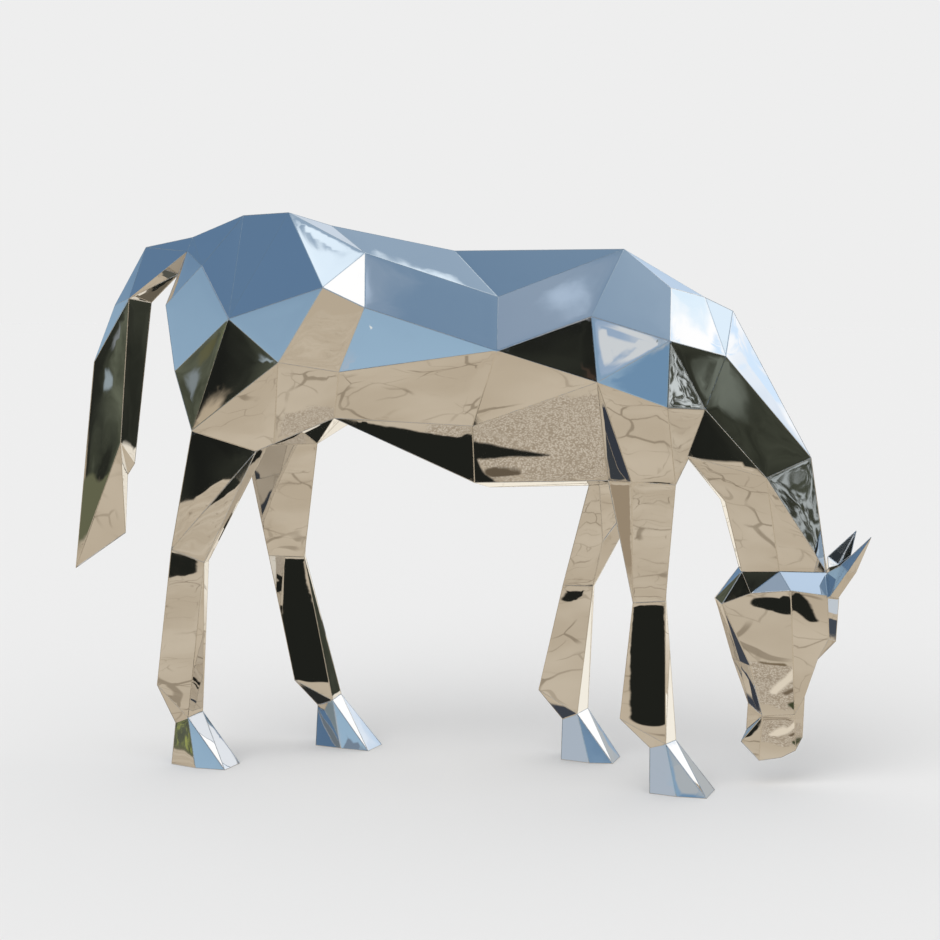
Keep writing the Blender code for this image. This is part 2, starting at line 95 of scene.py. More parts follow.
# Steel
STEEL_TINT = (0.80, 0.80, 0.80)
STEEL_COOL = (0.798, 0.801, 0.806)
STEEL_WARM = (0.806, 0.801, 0.796)
STEEL_DULL = (0.770, 0.772, 0.775)
STEEL_STRAW = (0.800, 0.775, 0.730)
POLISH_ROUGHNESS = 0.014
SMUDGE_ROUGHNESS = 0.022
SMUDGE_SCALE = 5.0
BRUSHED_ROUGHNESS = 0.12
BRUSHED_REACH = 0.004
GRAIN_SCALE = 420.0

# Weld beads, in metres, and how deep they sink as a share of their radius
SEAM_RADIUS = 0.0010
SEAM_SUNK = 0.70
SEAM_STEP = 0.006
SEAM_CLEAR = SEAM_RADIUS * 1.2
BEAD_LENGTH = 0.012
BEAD_UNEVENNESS = 0.5
BEAD_SIDES = 5

# Floor, backdrop and light
FLOOR_HALF = 60.0
FLOOR_PALE = 0.8
BACKDROP_PALE = 0.855
SUN_SHARE = 0.2876
SUN_TURN = (38.0, -18.0, 0.0)
SUN_ANGLE = 50.0

DEGREES = 180.0 / math.pi


def add_object(name, data):
    obj = bpy.data.objects.new(name, data)
    bpy.context.scene.collection.objects.link(obj)
    return obj


class Plate:
    """One flat facet: its corners in order, and a frame of its own with the normal pointing out."""

    def __init__(self, corners, number):
        self.corners = [Vector(c) for c in corners]
        self.number = number
        self.normal = geometry.normal(self.corners)
        self.origin = self.corners[0]
        self.across = (self.corners[1] - self.corners[0]).normalized()
        self.up = self.normal.cross(self.across)
        self.outline = [self.flat(c) for c in self.corners]

    def flat(self, point):
        """A point's place in the plate's own plane."""
        step = point - self.origin
        return Vector((step.dot(self.across), step.dot(self.up)))

    def solid(self, spot):
        """The point of space at a place in the plate's plane."""
        return self.origin + self.across * spot[0] + self.up * spot[1]


def flat_plates(node):
    """The solid's facets as whole polygons, read from a merged copy of its loose triangles."""
    mesh = bmesh.new()
    mesh.from_mesh(node.data)
    bmesh.ops.remove_doubles(mesh, verts=mesh.verts, dist=1e-5)
    bmesh.ops.dissolve_limit(mesh, angle_limit=math.radians(0.05), verts=mesh.verts, edges=mesh.edges)
    mesh.normal_update()
    plates = [Plate([vert.co.copy() for vert in face.verts], face.index) for face in mesh.faces]
    plates = [plate for plate in plates if plate.normal.length > 0.5]
    mesh.free()
    return plates


def key(point):
    """A name for a point, the same for all plates that meet there."""
    return tuple(round(c * KEYS_PER_METRE) for c in point)


def key_point(name):
    return Vector([c / KEYS_PER_METRE for c in name])


def edge_key(a, b):
    return tuple(sorted((key(a), key(b))))


def fold_shifts(plates):
    """How far corners and edges move when the sharp folds are rounded off, and the rounded normals."""
    beside = {}
    around = {}
    for plate in plates:
        count = len(plate.corners)
        for i, corner in enumerate(plate.corners):
            beside.setdefault(edge_key(corner, plate.corners[(i + 1) % count]), []).append(plate)
            around.setdefault(key(corner), []).append(plate)
    edges = {}
    for name, pair in beside.items():
        if len(pair) != 2:
            continue
        first, second = pair
        middle = (first.normal + second.normal).normalized()
        turn = first.normal.angle(second.normal)
        shared = key_point(name[0])
        centre = sum(second.corners, Vector()) / len(second.corners)
        hollow = (centre - shared).dot(first.normal) > 0.0
        drop = FOLD_WIDTH * math.tan(turn / 4)
        edges[name] = (middle * (drop if hollow else -drop), middle)
    corners = {}
    for name, plates_here in around.items():
        shifts = [edges[e][0] for e in edges if name in e]
        middle = sum((plate.normal for plate in plates_here), Vector()).normalized()
        corners[name] = (sum(shifts, Vector()) / max(len(shifts), 1), middle)
    return edges, corners


def edge_spots(a, b):
    """Evenly spaced points along an edge without its ends, the same from both plates."""
    low, high = sorted((a, b), key=lambda p: tuple(p))
    count = max(1, math.ceil((high - low).length / PLATE_GRID))
    spots = [low.lerp(high, i / count) for i in range(1, count)]
    return spots if low == a else spots[::-1]


def edge_distance(spot, outline):
    """Distance in the plane from a spot to the nearest edge of an outline."""
    nearest = math.inf
    for i, a in enumerate(outline):
        b = outline[(i + 1) % len(outline)]
        run = b - a
        share = min(max((spot - a).dot(run) / run.length_squared, 0.0), 1.0)
        nearest = min(nearest, (a + run * share - spot).length)
    return nearest


def is_inside(spot, outline):
    inside = False
    for i, a in enumerate(outline):
        b = outline[(i + 1) % len(outline)]
        if (a.y > spot.y) != (b.y > spot.y):
            if spot.x < (b.x - a.x) * (spot.y - a.y) / (b.y - a.y) + a.x:
                inside = not inside
    return inside


def inset_outline(outline, width):
    """The outline drawn in by a width with mitred corners, or None where the plate is too narrow for it."""
    count = len(outline)
    drawn = []
    for i, corner in enumerate(outline):
        before = (corner - outline[i - 1]).normalized()
        after = (outline[(i + 1) % count] - corner).normalized()
        inward_before = Vector((-before.y, before.x))
        inward_after = Vector((-after.y, after.x))
        middle = inward_before + inward_after
        if middle.length_squared < 1e-4:
            return None
        drawn.append(corner + middle * (2.0 * width / middle.length_squared))
    for i in range(count):
        run = outline[(i + 1) % count] - outline[i]
        if (drawn[(i + 1) % count] - drawn[i]).dot(run) < 0.0:
            return None
    return drawn


def plate_wave(plate, point, reach):
    """Height of the sheet's waves over the flat plate, calm at the welds, with a slight pull beside them."""
    calm = min(reach / CALM_REACH, 1.0)
    calm = calm * calm * (3.0 - 2.0 * calm)
    seed = Vector((plate.number * SEED_STEPS[0], plate.number * SEED_STEPS[1], 0.0))
    wave = noise.noise(point / WAVE_LENGTH + seed) * WAVE_HEIGHT
    ripple = noise.noise(point / RIPPLE_LENGTH + seed) * RIPPLE_HEIGHT
    pull = -math.exp(-reach / PULL_REACH) * PULL_HEIGHT
    return calm * (wave + ripple) + pull


def wave_at(plate, spot):
    if max(corner.z for corner in plate.corners) < ON_GROUND:
        return 0.0
    return plate_wave(plate, plate.solid(spot), edge_distance(spot, plate.outline))


class Sheet:
    """The whole skin as it is put together: its vertices with what each carries, and its triangles."""

    def __init__(self):
        self.points = []
        self.normals = []
        self.reaches = []
        self.tones = []
        self.faces = []
        self.shared = {}

    def add(self, point, normal, reach, tone):
        self.points.append(point)
        self.normals.append(normal)
        self.reaches.append(reach)
        self.tones.append(tone)
        return len(self.points) - 1

    def add_shared(self, point, shift, normal, tone):
        name = key(point)
        if name not in self.shared:
            self.shared[name] = self.add(point + shift, normal, 0.0, tone)
        return self.shared[name]


def plate_lean(plate):
    """How much the plate's normal leans, for the few plates that the list names by a point on them."""
    centre = sum(plate.corners, Vector()) / len(plate.corners)
    for near, lean in PLATE_LEANS:
        step = Vector(near) - centre
        if step.length < LEAN_REACH and abs(step.dot(plate.normal)) < LEAN_OFF_PLANE:
            return Vector(lean)
    return Vector()


def lay_plate(sheet, plate, edges, corners):
    """Fills one plate with even triangles: a rounded fold at its rim and waves within."""
    tone = noise.random_unit_vector().x
    lean = plate_lean(plate)
    rim = []
    spots = []
    count = len(plate.corners)
    for i, corner in enumerate(plate.corners):
        shift, middle = corners[key(corner)]
        rim.append(sheet.add_shared(corner, shift, middle, tone))
        spots.append(plate.flat(corner))
        ahead = plate.corners[(i + 1) % count]
        shift, middle = edges.get(edge_key(corner, ahead), (Vector(), plate.normal))
        for point in edge_spots(corner, ahead):
            rim.append(sheet.add_shared(point, shift, middle, tone))
            spots.append(plate.flat(point))
    boundary = list(range(len(spots)))
    loops = [(boundary[i], boundary[(i + 1) % len(boundary)]) for i in range(len(boundary))]

    drawn, width = None, FOLD_WIDTH
    while drawn is None and width > FOLD_WIDTH / 8:
        drawn = inset_outline(plate.outline, width)
        width /= 2
    if drawn:
        first = len(spots)
        for i, a in enumerate(drawn):
            b = drawn[(i + 1) % len(drawn)]
            steps = max(1, math.ceil((b - a).length / PLATE_GRID))
            spots.extend(a.lerp(b, k / steps) for k in range(steps))
        inner = list(range(first, len(spots)))
        loops += [(inner[i], inner[(i + 1) % len(inner)]) for i in range(len(inner))]

    low_x, high_x = min(s.x for s in plate.outline), max(s.x for s in plate.outline)
    low_y, high_y = min(s.y for s in plate.outline), max(s.y for s in plate.outline)
    row_height = PLATE_GRID * math.sqrt(3.0) / 2
    rows = int((high_y - low_y) / row_height) + 1
    columns = int((high_x - low_x) / PLATE_GRID) + 2
    for row in range(rows):
        for column in range(columns):
            spot = Vector((low_x + (column + row % 2 / 2) * PLATE_GRID, low_y + (row + 0.5) * row_height))
            if is_inside(spot, plate.outline):
                if edge_distance(spot, plate.outline) > RIM_CLEAR:
                    spots.append(spot)

    placed, _, triangles, origins, _, _ = geometry.delaunay_2d_cdt(spots, loops, [boundary], 1, 1e-6)
    numbers = []
    for spot, sources in zip(placed, origins):
        on_rim = [source for source in sources if source < len(rim)]
        if on_rim:
            numbers.append(rim[on_rim[0]])
            continue
        reach = edge_distance(spot, plate.outline)
        height = wave_at(plate, spot)
        slope_x = (wave_at(plate, spot + Vector((SLOPE_STEP, 0.0))) - height) / SLOPE_STEP
        slope_y = (wave_at(plate, spot + Vector((0.0, SLOPE_STEP))) - height) / SLOPE_STEP
        normal = (plate.normal + lean - plate.across * slope_x - plate.up * slope_y).normalized()
        point = plate.solid(spot) + plate.normal * height
        numbers.append(sheet.add(point, normal, reach, tone))
    for a, b, c in triangles:
        sheet.faces.append((numbers[a], numbers[b], numbers[c]))


def horse_skin(node):
    """The whole skin as one mesh object with rounded folds, waves, and normals that follow them."""
    noise.seed_set(WAVE_SEED)
    plates = flat_plates(node)
    edges, corners = fold_shifts(plates)
    sheet = Sheet()
    for plate in plates:
        lay_plate(sheet, plate, edges, corners)
    data = bpy.data.meshes.new("horse_plates")
    data.from_pydata(sheet.points, [], sheet.faces)
    data.validate()
    for name, values in (("weld_distance", sheet.reaches), ("plate_tone", sheet.tones)):
        layer = data.attributes.new(name, "FLOAT", "POINT")
        layer.data.foreach_set("value", values)
    data.shade_smooth()
    data.normals_split_custom_set_from_vertices(sheet.normals)
    return add_object("horse_plates", data)


class Nodes:
    """Short calls that put nodes in one tree and join them up. Each gives back an output socket."""

    def __init__(self, tree):
        self.tree = tree

    def put(self, kind, inputs=(), output=0, **settings):
        node = self.tree.nodes.new(kind)
        for name, value in settings.items():
            setattr(node, name, value)
        for name, value in dict(inputs).items():
            if isinstance(value, bpy.types.NodeSocket):
                self.tree.links.new(value, node.inputs[name])
            else:
                node.inputs[name].default_value = value
        return node.outputs[output] if node.outputs else node

    def maths(self, operation, *values, clamp=False):
        return self.put("ShaderNodeMath", enumerate(values), operation=operation, use_clamp=clamp)

    def vector(self, operation, *values, output=0):
        return self.put("ShaderNodeVectorMath", enumerate(values), output, operation=operation)

    def step(self, value, low, high, to_low=0.0, to_high=1.0):
        """A smooth step between two limits."""
        inputs = {"Value": value, "From Min": low, "From Max": high, "To Min": to_low, "To Max": to_high}
        return self.put("ShaderNodeMapRange", inputs, interpolation_type="SMOOTHSTEP")

    def mix(self, share, first, second, blend="MIX"):
        """Colours mixed by a share."""
        inputs = {0: share, 6: as_colour(first), 7: as_colour(second)}
        return self.put("ShaderNodeMix", inputs, 2, data_type="RGBA", blend_type=blend)

    def noise(self, where, scale, detail=2.0, roughness=0.5, distortion=0.0):
        inputs = {"Vector": where, "Scale": scale, "Detail": detail, "Roughness": roughness}
        return self.put("ShaderNodeTexNoise", {**inputs, "Distortion": distortion})

    def curve(self, value, points):
        """A straight-run curve through (value, height) points, as a ramp of grey between 0 and 1."""
        low, high = points[0][0], points[-1][0]
        top = max(height for _, height in points)
        place = self.put("ShaderNodeMapRange", {"Value": value, "From Min": low, "From Max": high})
        node = self.tree.nodes.new("ShaderNodeValToRGB")
        self.tree.links.new(place, node.inputs[0])
        stops = node.color_ramp.elements
        while len(stops) < len(points):
            stops.new(0.5)
        for stop, (at, height) in zip(stops, points):
            stop.position = (at - low) / (high - low)
            stop.color = (height / top, height / top, height / top, 1.0)
        return self.maths("MULTIPLY", node.outputs[0], top)


def as_colour(value):
    return (*value, 1.0) if isinstance(value, tuple) and len(value) == 3 else value


def shown(red, green, blue):
    """The linear colour that the steel has to reflect to show a screen colour given in 0 to 255."""
    shares = [c / 255 for c in (red, green, blue)]
    linear = [c / 12.92 if c < 0.0404 else ((c + 0.055) / 1.055) ** 2.4 for c in shares]
    return tuple(c / tint for c, tint in zip(linear, STEEL_TINT))


def direction(azimuth, elevation):
    """The unit vector towards a place in the sky, given in degrees."""
    across = math.cos(math.radians(elevation))
    turn = math.radians(azimuth)
    return (across * math.cos(turn), across * math.sin(turn), math.sin(math.radians(elevation)))


# Open air that mirror rays see, in screen colours. Azimuth is from +X towards +Y, in degrees.
DEEP_SKY = shown(91, 119, 149)
MID_SKY = shown(112, 137, 162)
LIGHT_SKY = shown(143, 164, 185)
PALE_SKY = shown(188, 208, 230)
WISP_SKY = shown(212, 232, 252)
WHITE_SKY = shown(255, 255, 255)
HORIZON_SKY = shown(148, 176, 198)
HAZE = direction(40.0, 40.0)
WISPS = direction(24.0, 34.0)

# Height of the tree tops round the horizon: azimuth, elevation
TREE_TOPS = [
    (-180, 5), (-168, 4), (-152, 3), (-140, 2), (-124, 1), (-108, 1), (-88, 2), (-76, 20), (-68, 23),
    (-62, 23.2), (-56, 25), (-46, 24), (-36, 17), (-24, 22), (-8, 25), (6, 20), (14, 8), (40, 4), (80, 3),
    (124, 3), (134, 20), (143, 20), (148, 8), (160, 6), (180, 5),
]
# How grey-green and light the leaves are round the horizon: azimuth, share
LEAF_GREYS = [
    (-180, 0.6), (-151, 0.9), (-144.6, 0.9), (-144.2, 0.0), (-140.65, 0.0), (-140.5, 1.0), (-136, 0.8),
    (-131, 0.0), (-40, 0.0), (-30, 0.35), (-20, 0.15), (-10, 0.4), (4, 0.3), (30, 0.3), (50, 0.3), (64, 0.1),
    (80, 0.3), (128, 0.9), (150, 0.9), (180, 0.6),
]
# Where the paving ends and the hedge begins: azimuth, metres from the horse's middle
PAVING_ENDS = [
    (-180, 9), (-160, 9), (-132, 9), (-128, 16), (-121, 17), (-114, 60), (-72, 60), (-66, 6.6), (-36, 6.6),
    (-31, 8.0), (-10, 8.0), (4, 6.6), (20, 7), (36, 4.4), (64, 4.6), (78, 5.5), (86, 20), (120, 20),
    (150, 9), (180, 9),
]
# Azimuths between which the sand runs on to the horizon, each as a soft step
SAND_SIDE = ((-116.0, -112.0), (-68.0, -74.0))
# Where grass shows at the paving's edge: azimuths as soft steps, and metres from the horse's middle
VERGE_SIDE = ((-154.0, -150.0), (-136.0, -140.0))
VERGE_REACH = (5.4, 6.0)
# Clouds, clear patches and dark boughs: azimuth, elevation, radius, soft edge, colour, share
SKY_SPOTS = [
    (-94.0, 13.4, 2.2, 0.6, shown(108, 140, 169), 1.0),
    (-59.0, 47.0, 6.0, 3.0, shown(140, 156, 174), 1.0),
    (107.4, 72.5, 3.0, 0.4, shown(228, 242, 253), 0.95),
    (109.3, 70.1, 1.2, 0.3, shown(226, 241, 253), 0.95),
    (105.6, 70.3, 1.2, 0.3, shown(221, 237, 250), 0.95),
    (-126.5, 4.6, 4.6, 0.8, shown(168, 177, 188), 0.9),
    (-132.3, 4.0, 1.8, 0.5, shown(112, 121, 122), 0.9),
    (-120.3, 6.3, 0.9, 0.3, shown(110, 123, 138), 0.9),
    (-94.4, 16.6, 1.3, 0.3, shown(168, 173, 176), 0.95),
    (-97.3, 33.9, 3.0, 1.0, shown(112, 121, 128), 1.0),
    (-28.0, 64.0, 3.0, 1.0, shown(225, 241, 254), 0.95),
    (28.6, 46.6, 1.6, 0.5, shown(219, 238, 252), 0.9),
    (36.0, 72.0, 5.0, 2.0, shown(255, 255, 255), 1.0),
    (176.0, 77.6, 3.4, 1.6, shown(255, 255, 255), 0.12),
    (99.0, 57.0, 3.0, 1.5, shown(232, 240, 250), 0.55),
    (-61.5, 30.0, 8.0, 0.6, shown(246, 250, 255), 1.0),
    (-63.0, 29.9, 3.4, 0.3, shown(44, 49, 53), 1.0),
    (57.5, 19.0, 3.4, 0.8, shown(255, 255, 255), 1.0),
    (67.0, 9.0, 3.0, 1.0, shown(172, 176, 178), 1.0),
    (174.5, 79.8, 0.6, 0.5, shown(178, 196, 217), 0.7),
    (-97.6, 18.3, 1.5, 0.4, shown(162, 178, 200), 0.6),
    (-97.35, 18.3, 0.85, 0.3, shown(206, 209, 210), 0.9),
    (-96.6, 18.6, 0.22, 0.08, shown(86, 100, 104), 0.8),
    (-121.85, 9.75, 0.16, 0.05, shown(226, 228, 222), 0.9),
]
# Colours and light among the leaves: azimuth, elevation, radius, colour, share, seen through twigs
LEAF_SPOTS = [
    (-28.0, 9.0, 3.2, shown(196, 202, 202), 1.0, True),
    (-8.5, -4.0, 3.2, shown(168, 174, 174), 0.9, True),
    (-148.9, -2.2, 0.6, shown(134, 143, 148), 0.7, False),
    (-148.5, -1.0, 0.4, shown(96, 92, 60), 0.6, False),
    (-146.3, -0.3, 1.2, shown(160, 166, 92), 0.8, True),
    (-139.9, -3.45, 0.34, shown(150, 162, 167), 0.85, False),
    (-139.9, -1.9, 0.4, shown(128, 132, 134), 0.8, False),
    (-14.6, 12.9, 1.2, shown(118, 124, 114), 0.7, False),
    (-62.0, 19.5, 1.0, shown(84, 66, 56), 0.5, False),
    (-142.4, -5.9, 1.1, shown(176, 160, 136), 1.0, False),
]
LEAF_DARK = (shown(27, 28, 25), shown(52, 54, 46))
LEAF_GREY = (shown(66, 69, 56), shown(100, 104, 88))

SAND = shown(180, 166, 145)
SAND_PALE = shown(193, 180, 160)
SAND_SUNNY = shown(226, 218, 203)
SAND_LINE = shown(128, 115, 96)
SAND_STAIN = shown(156, 142, 120)
GRAVEL_DARK = shown(152, 138, 119)
GRAVEL_LIGHT = shown(202, 191, 174)
GRASS = shown(96, 97, 74)
# Painted shadow: the near-black colour of the shadows laid on the paving
SHADE = shown(30, 31, 27)
# The sunny side's soft beginning, and how soft and how crooked the stretches' edges are, in metres
SUNNY_SIDE = (1.3, 3.0)
STRETCH_SOFT = 0.008
STRETCH_CROOKED = 0.03
# Painted shadows and painted shade on the paving, with one painted patch of sunlit glare and a few other
# colours: start, end, half width at each, in metres, and colour
STRETCHES = [
    ((-0.84, -0.72), (-1.60, -2.34), 0.14, 0.11, SHADE),
    ((-1.60, -2.34), (-1.86, -2.95), 0.115, 0.12, SHADE),
    ((-1.10, -1.455), (-0.42, -1.375), 0.15, 0.15, SHADE),
    ((0.47, -0.80), (0.06, -2.22), 0.072, 0.090, SHADE),
    ((0.36, -1.46), (0.66, -1.37), 0.055, 0.004, SHADE),
    ((0.44, -1.31), (0.52, -1.30), 0.035, 0.015, shown(96, 84, 68)),
    ((0.015, -1.50), (0.02, -1.64), 0.055, 0.055, SHADE),
    ((1.77, -1.22), (1.76, -1.30), 0.075, 0.10, SHADE),
    ((2.32, -0.79), (2.38, -0.89), 0.028, 0.045, SHADE),
    ((2.38, -0.89), (2.56, -1.06), 0.045, 0.045, SHADE),
    ((-3.35, -3.60), (-4.00, -4.60), 0.17, 0.17, SHADE),
    ((-1.85, -0.28), (-1.15, -0.25), 0.07, 0.05, shown(52, 56, 64)),
    ((-0.53, -0.33), (-0.33, -0.45), 0.06, 0.06, shown(62, 66, 71)),
    ((-1.46, 2.58), (-1.10, 2.80), 0.16, 0.22, shown(96, 88, 74)),
    ((-1.44, 1.16), (-1.32, 1.22), 0.10, 0.10, shown(88, 88, 80)),
    # Painted shade under the belly
    ((0.10, 0.00), (0.60, -0.06), 0.05, 0.05, shown(60, 64, 72)),
    ((2.96, 0.22), (3.06, 0.22), 0.12, 0.12, shown(66, 72, 80)),
    ((3.40, 0.25), (3.70, 0.27), 0.14, 0.16, shown(188, 196, 204)),
    ((1.42, -0.45), (1.36, -0.44), 0.035, 0.035, shown(62, 66, 46)),
    ((1.33, -0.57), (1.53, -0.70), 0.016, 0.022, shown(218, 206, 186)),
    ((1.375, -0.545), (1.43, -0.56), 0.014, 0.010, shown(110, 96, 78)),
    ((1.41, -0.80), (1.49, -0.755), 0.008, 0.014, shown(114, 99, 78)),
    ((-0.70, -0.10), (-0.60, -0.07), 0.05, 0.05, shown(40, 41, 40)),
    ((-1.13, 2.66), (-1.00, 2.66), 0.16, 0.16, SHADE),
    # Painted shade: a darker, shaded band of sand
    ((-2.20, -0.52), (-4.40, -0.78), 0.07, 0.12, shown(149, 133, 111)),
    # Painted light: a pale patch of sunlit glare on the sand
    ((0.75, 0.56), (2.20, 1.50), 0.40, 0.32, shown(240, 234, 221)),
]
# Pebbly ground: centre and reach, in metres
GRAVEL = [((0.68, -1.50), 0.36), ((-0.66, -1.60), 0.15), ((-0.66, -2.28), 0.20), ((1.36, -0.62), 0.20)]


def stretch_group():
    """A mask round a tapering stretch of ground: 1 within its width, 0 outside."""
    tree = bpy.data.node_groups.new("ground_stretch", "ShaderNodeTree")
    for name in ("Place", "Start", "Run"):
        tree.interface.new_socket(name, in_out="INPUT", socket_type="NodeSocketVector")
    for name in ("Start Width", "End Width", "Soft"):
        tree.interface.new_socket(name, in_out="INPUT", socket_type="NodeSocketFloat")
    tree.interface.new_socket("Mask", in_out="OUTPUT", socket_type="NodeSocketFloat")
    n = Nodes(tree)
    given = tree.nodes.new("NodeGroupInput").outputs
    away = n.vector("SUBTRACT", given["Place"], given["Start"])
    along = n.vector("DOT_PRODUCT", away, given["Run"], output=1)
    length = n.vector("DOT_PRODUCT", given["Run"], given["Run"], output=1)
    share = n.maths("DIVIDE", along, length, clamp=True)
    nearest = n.put("ShaderNodeVectorMath", {0: given["Run"], "Scale": share}, operation="SCALE")
    gap = n.vector("LENGTH", n.vector("SUBTRACT", away, nearest), output=1)
    taper = n.maths("SUBTRACT", given["End Width"], given["Start Width"])
    width = n.maths("ADD", given["Start Width"], n.maths("MULTIPLY", taper, share))
    inner = n.maths("SUBTRACT", width, given["Soft"])
    outer = n.maths("ADD", width, given["Soft"])
    n.put("NodeGroupOutput", {0: n.step(gap, inner, outer, 1.0, 0.0)})
    return tree


def azimuth_of(n, vector):
    """The vector's azimuth in degrees, and its rise."""
    parts = n.put("ShaderNodeSeparateXYZ", {"Vector": vector}).node.outputs
    turn = n.maths("ARCTAN2", parts["Y"], parts["X"])
    return n.maths("MULTIPLY", turn, DEGREES), parts["Z"]


def centred(n, value, height):
    """Noise between 0 and 1 as an offset to both sides of nothing."""
    return n.maths("MULTIPLY", n.maths("SUBTRACT", value, 0.5), height)


def crooked(n, where, scale, detail, reach):
    """Places on the ground, shifted a little to and fro so that what is drawn with them isn't straight."""
    shift = n.put("ShaderNodeTexNoise", {"Vector": where, "Scale": scale, "Detail": detail}, 1)
    shift = n.vector("MULTIPLY", n.vector("SUBTRACT", shift, (0.5, 0.5, 0.5)), (reach, reach, 0.0))
    return n.vector("ADD", where, shift)


def spot_mask(n, ray, azimuth, elevation, radius, soft):
    """A round patch of the sky with a soft, uneven edge. Sizes are in degrees."""
    gap = n.vector("LENGTH", n.vector("SUBTRACT", ray, direction(azimuth, elevation)), output=1)
    ragged = centred(n, n.noise(ray, 70.0 / radius, 4.0, 0.6), 1.2 * radius)
    degrees = n.maths("ADD", n.maths("MULTIPLY", gap, DEGREES), ragged)
    return n.step(degrees, radius + soft, radius - soft)


def sky_colour(n, ray):
    """Blue that pales towards the sun's haze and the horizon, with listed clouds."""
    closeness = n.vector("DOT_PRODUCT", ray, HAZE, output=1)
    _, rise = azimuth_of(n, ray)
    blue = n.mix(n.step(closeness, 0.40, 0.60), DEEP_SKY, MID_SKY)
    blue = n.mix(n.step(closeness, 0.58, 0.70), blue, LIGHT_SKY)
    blue = n.mix(n.step(closeness, 0.72, 0.90), blue, PALE_SKY)
    low = n.step(rise, 0.50, 0.10)
    blue = n.mix(n.maths("MULTIPLY", low, n.step(closeness, 0.4, -0.3)), blue, HORIZON_SKY)
    glow = n.maths("ADD", closeness, centred(n, n.noise(ray, 9.0, 3.0, 0.5, 0.3), 0.12))
    sky = n.mix(n.step(glow, 0.90, 0.945), blue, WHITE_SKY)
    wisps = n.step(n.noise(ray, 16.0, 4.0, 0.55, 1.6), 0.50, 0.62)
    near_wisps = n.step(n.vector("DOT_PRODUCT", ray, WISPS, output=1), 0.93, 0.97)
    sky = n.mix(n.maths("MULTIPLY", wisps, near_wisps), sky, WISP_SKY)
    for azimuth, elevation, radius, soft, colour, share in SKY_SPOTS:
        mask = spot_mask(n, ray, azimuth, elevation, radius, soft)
        sky = n.mix(n.maths("MULTIPLY", mask, share), sky, colour)
    return sky


def tree_colour(n, ray, azimuth):
    """Dark leaves, greyer and lighter here and there, with light showing through where they are thin."""
    broad = n.noise(ray, 9.0, 3.0, 0.5, 0.4)
    dark = n.mix(n.step(broad, 0.45, 0.75), *LEAF_DARK)
    fine = n.noise(ray, 34.0, 5.0, 0.62, 0.8)
    grey = n.mix(n.step(fine, 0.30, 0.75), *LEAF_GREY)
    colour = n.mix(n.curve(azimuth, LEAF_GREYS), dark, grey)
    twigs = n.step(n.noise(ray, 95.0, 4.0, 0.6, 1.8), 0.44, 0.58)
    for spot_azimuth, elevation, radius, light, share, through_twigs in LEAF_SPOTS:
        mask = n.maths("MULTIPLY", spot_mask(n, ray, spot_azimuth, elevation, radius, radius * 0.4), share)
        if through_twigs:
            mask = n.maths("MULTIPLY", mask, twigs)
        colour = n.mix(mask, colour, light)
    return colour


def open_air(n, ray):
    """What a mirror ray sees once it has left the paving: trees round the horizon, sky over them."""
    azimuth, rise = azimuth_of(n, ray)
    elevation = n.maths("MULTIPLY", n.maths("ARCSINE", rise), DEGREES)
    tops = n.curve(azimuth, TREE_TOPS)
    ragged = centred(n, n.noise(ray, 14.0, 5.0, 0.6), 3.0)
    tops = n.maths("ADD", tops, n.maths("MULTIPLY", ragged, n.step(tops, 0.0, 12.0, 0.25, 1.0)))
    over = n.step(n.maths("SUBTRACT", elevation, tops), -0.4, 0.4)
    air = n.mix(over, tree_colour(n, ray, azimuth), sky_colour(n, ray))
    sand_side = n.maths("MULTIPLY", *(n.step(azimuth, *ends) for ends in SAND_SIDE))
    return n.mix(n.maths("MULTIPLY", sand_side, n.step(elevation, 1.2, 0.6)), air, SAND)


def joint_lines(n, where, scale, width, seed):
    """Thin crooked lines between the paving's slabs, broken here and there."""
    moved = n.vector("ADD", where, (seed, seed * 0.7, 0.0))
    bent = crooked(n, moved, scale * 0.5, 2.0, 2.0 / scale)
    gap = n.put("ShaderNodeTexVoronoi", {"Vector": bent, "Scale": scale}, feature="DISTANCE_TO_EDGE")
    broken = n.step(n.noise(moved, scale * 0.9, 2.0), 0.46, 0.58)
    return n.maths("MULTIPLY", n.step(gap, width * scale * 1.6, width * scale * 0.7), broken)


def paving_colour(n, where):
    """Sandy paving with faint crooked joints, stains and pebbly places, sunny on the far side."""
    side = n.put("ShaderNodeSeparateXYZ", {"Vector": where}, "Y")
    cloudy = n.step(n.noise(where, 1.3, 3.0), 0.35, 0.70)
    sand = n.mix(cloudy, SAND, SAND_PALE)
    stain = n.step(n.noise(where, 3.1, 4.0, 0.6, 0.8), 0.60, 0.74)
    sand = n.mix(n.maths("MULTIPLY", stain, 0.5), sand, SAND_STAIN)
    sand = n.mix(n.step(side, *SUNNY_SIDE), sand, SAND_SUNNY)
    sand = n.mix(n.maths("MULTIPLY", joint_lines(n, where, 2.1, 0.008, 0.0), 0.7), sand, SAND_LINE)
    sand = n.mix(n.maths("MULTIPLY", joint_lines(n, where, 3.4, 0.004, 3.0), 0.4), sand, SAND_LINE)
    pebbles = n.put("ShaderNodeTexVoronoi", {"Vector": where, "Scale": 130.0})
    gravel = n.mix(n.step(pebbles, 0.15, 0.75), GRAVEL_LIGHT, GRAVEL_DARK)
    for centre, reach in GRAVEL:
        gap = n.vector("LENGTH", n.vector("SUBTRACT", where, (*centre, 0.0)), output=1)
        gap = n.maths("ADD", gap, centred(n, n.noise(where, 8.0, 4.0, 0.6), reach))
        sand = n.mix(n.step(gap, reach, reach * 0.8, 0.0, 0.85), sand, gravel)
    return sand


